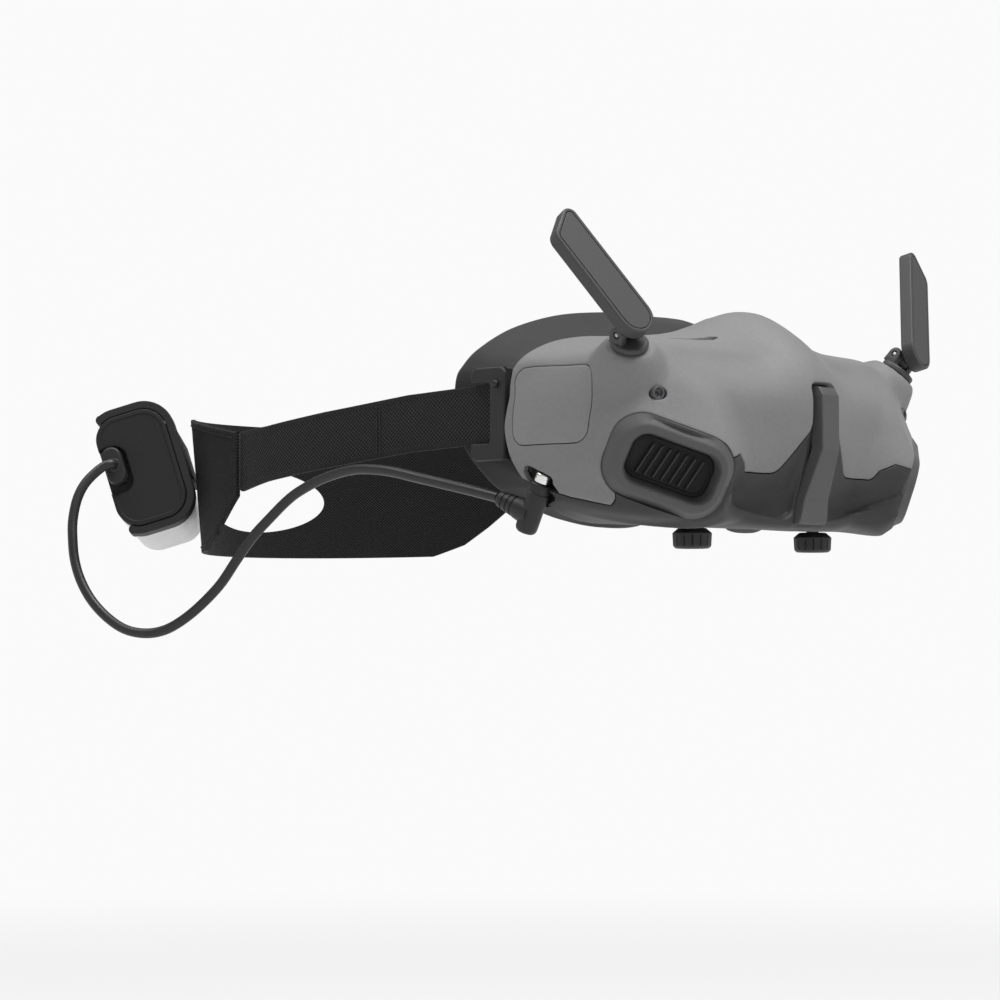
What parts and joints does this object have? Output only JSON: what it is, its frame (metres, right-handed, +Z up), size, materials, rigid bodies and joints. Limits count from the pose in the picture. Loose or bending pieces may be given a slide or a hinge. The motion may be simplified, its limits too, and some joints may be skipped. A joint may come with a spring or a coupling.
{
  "type": "fpv goggles",
  "caption": "Head-worn video goggles with a foam face seal, folding antennas, adjustable eyepieces, elastic headband, rear battery and power lead.",
  "frame": {"origin": "middle of the face seal's rear opening at eye height, where the wearer's face sits", "axes": "+X towards the wearer's left, -Y the way the wearer looks, +Z up"},
  "size_m": [0.2141, 0.3066, 0.1378],
  "materials": {
    "shell_grey": "fine leather-like grain, matte",
    "shell_charcoal": "fine grain, matte",
    "antenna_charcoal": "satin",
    "seal_rubber": "soft-touch foam skin, matte",
    "strap_webbing": "woven elastic mesh",
    "black_plastic": "fine spark texture",
    "battery_grey": "smooth satin",
    "metal": "bright",
    "board_green": "solder mask",
    "glass": "coated glass",
    "cord_black": "semi-gloss sheath"
  },
  "bodies": {
    "goggles": {"battery_body": "battery_grey", "battery_cap": "black_plastic", "battery_clip": "black_plastic", "battery_plug": "black_plastic", "camera_lens_left": "glass", "camera_lens_right": "glass", "central_bar": "shell_charcoal", "elbow_plug": "black_plastic", "face_seal": "seal_rubber", "fan_housing": "black_plastic", "frame_screw_lower_left": "metal", "frame_screw_lower_right": "metal", "frame_screw_upper_left": "metal", "frame_screw_upper_right": "metal", "front_camera_left": "black_plastic", "front_camera_right": "black_plastic", "front_shell": "shell_grey", "guide_rod_left": "metal", "guide_rod_right": "metal", "heat_sink": "metal", "lower_shell": "shell_charcoal", "main_board": "board_green", "plug_tip": "metal", "power_lead": "cord_black", "power_socket": "black_plastic", "rear_cradle": "strap_webbing", "rear_frame": "black_plastic", "side_strap_left": "strap_webbing", "side_strap_right": "strap_webbing", "strap_anchor_left": "seal_rubber", "strap_anchor_right": "seal_rubber", "strap_peg_left": "black_plastic", "strap_peg_right": "black_plastic", "touch_panel": "shell_grey", "vent_bezel_left": "shell_charcoal", "vent_bezel_right": "shell_charcoal", "vent_grille_left": "black_plastic", "vent_grille_right": "black_plastic"},
    "antenna_swivel_left": {"antenna_base_left": "antenna_charcoal", "antenna_pin_left": "metal"},
    "antenna_blade_left": {"antenna_paddle_left": "antenna_charcoal", "antenna_cover_left": "antenna_charcoal"},
    "lens_module_left": {"lens_carriage_left": "shell_charcoal", "lens_barrel_left": "black_plastic", "micro_display_left": "black_plastic"},
    "focus_left": {"focus_knob_left": "black_plastic"},
    "eyepiece_left": {"eyepiece_lens_left": "glass"},
    "antenna_swivel_right": {"antenna_base_right": "antenna_charcoal", "antenna_pin_right": "metal"},
    "antenna_blade_right": {"antenna_paddle_right": "antenna_charcoal", "antenna_cover_right": "antenna_charcoal"},
    "lens_module_right": {"lens_carriage_right": "shell_charcoal", "lens_barrel_right": "black_plastic", "micro_display_right": "black_plastic"},
    "focus_right": {"focus_knob_right": "black_plastic"},
    "eyepiece_right": {"eyepiece_lens_right": "glass"},
    "fan": {"fan_rotor": "black_plastic"},
    "button": {"power_button": "black_plastic"}
  },
  "joints": [
    {"name": "antenna_swivel_right", "type": "hinge", "parent": "goggles", "child": "antenna_swivel_right", "pos_m": [-0.0742, -0.0524, 0.0212], "axis": [0.4191, 0.459, -0.7833], "range_deg": [-25, 80]},
    {"name": "antenna_fold_right", "type": "hinge", "parent": "antenna_swivel_right", "child": "antenna_blade_right", "pos_m": [-0.07676, -0.05311, 0.02631], "axis": [-0.8957, 0.0678, -0.4395], "range_deg": [0, 30]},
    {"name": "ipd_slide_right", "type": "slide", "parent": "goggles", "child": "lens_module_right", "axis": [-1, 0, 0], "range_m": [-0.0045, 0.0025]},
    {"name": "focus_knob_right", "type": "hinge", "parent": "lens_module_right", "child": "focus_right", "pos_m": [-0.0335, -0.0457, -0.036], "axis": [0, 0, 1], "range_deg": [-150, 150]},
    {"name": "focus_slide_right", "type": "slide", "parent": "lens_module_right", "child": "eyepiece_right", "axis": [0, 1, 0], "range_m": [-0.002, 0.002]},
    {"name": "antenna_swivel_left", "type": "hinge", "parent": "goggles", "child": "antenna_swivel_left", "pos_m": [0.0742, -0.0524, 0.0212], "axis": [0.4191, -0.459, 0.7833], "range_deg": [-25, 80]},
    {"name": "antenna_fold_left", "type": "hinge", "parent": "antenna_swivel_left", "child": "antenna_blade_left", "pos_m": [0.07681, -0.0531, 0.02628], "axis": [-0.8911, -0.0426, 0.4518], "range_deg": [0, 30]},
    {"name": "ipd_slide_left", "type": "slide", "parent": "goggles", "child": "lens_module_left", "axis": [1, 0, 0], "range_m": [-0.0045, 0.0025]},
    {"name": "focus_knob_left", "type": "hinge", "parent": "lens_module_left", "child": "focus_left", "pos_m": [0.0335, -0.0457, -0.036], "axis": [0, 0, 1], "range_deg": [-150, 150]},
    {"name": "focus_slide_left", "type": "slide", "parent": "lens_module_left", "child": "eyepiece_left", "axis": [0, 1, 0], "range_m": [-0.002, 0.002]},
    {"name": "fan_spin", "type": "hinge", "parent": "goggles", "child": "fan", "pos_m": [0, -0.048, 0.0192], "axis": [0, 0, 1], "continuous": true},
    {"name": "power_button_press", "type": "slide", "parent": "goggles", "child": "button", "axis": [0.6572, -0.6912, 0.3005], "range_m": [0, 0.0004], "stiffness_N_per_m": 400, "springref_m": -0.0004}
  ],
  "couplings": [
    {"joint": "focus_knob_right", "follows": "focus_slide_right", "rad_per_m": 1309},
    {"joint": "focus_knob_left", "follows": "focus_slide_left", "rad_per_m": 1309}
  ]
}
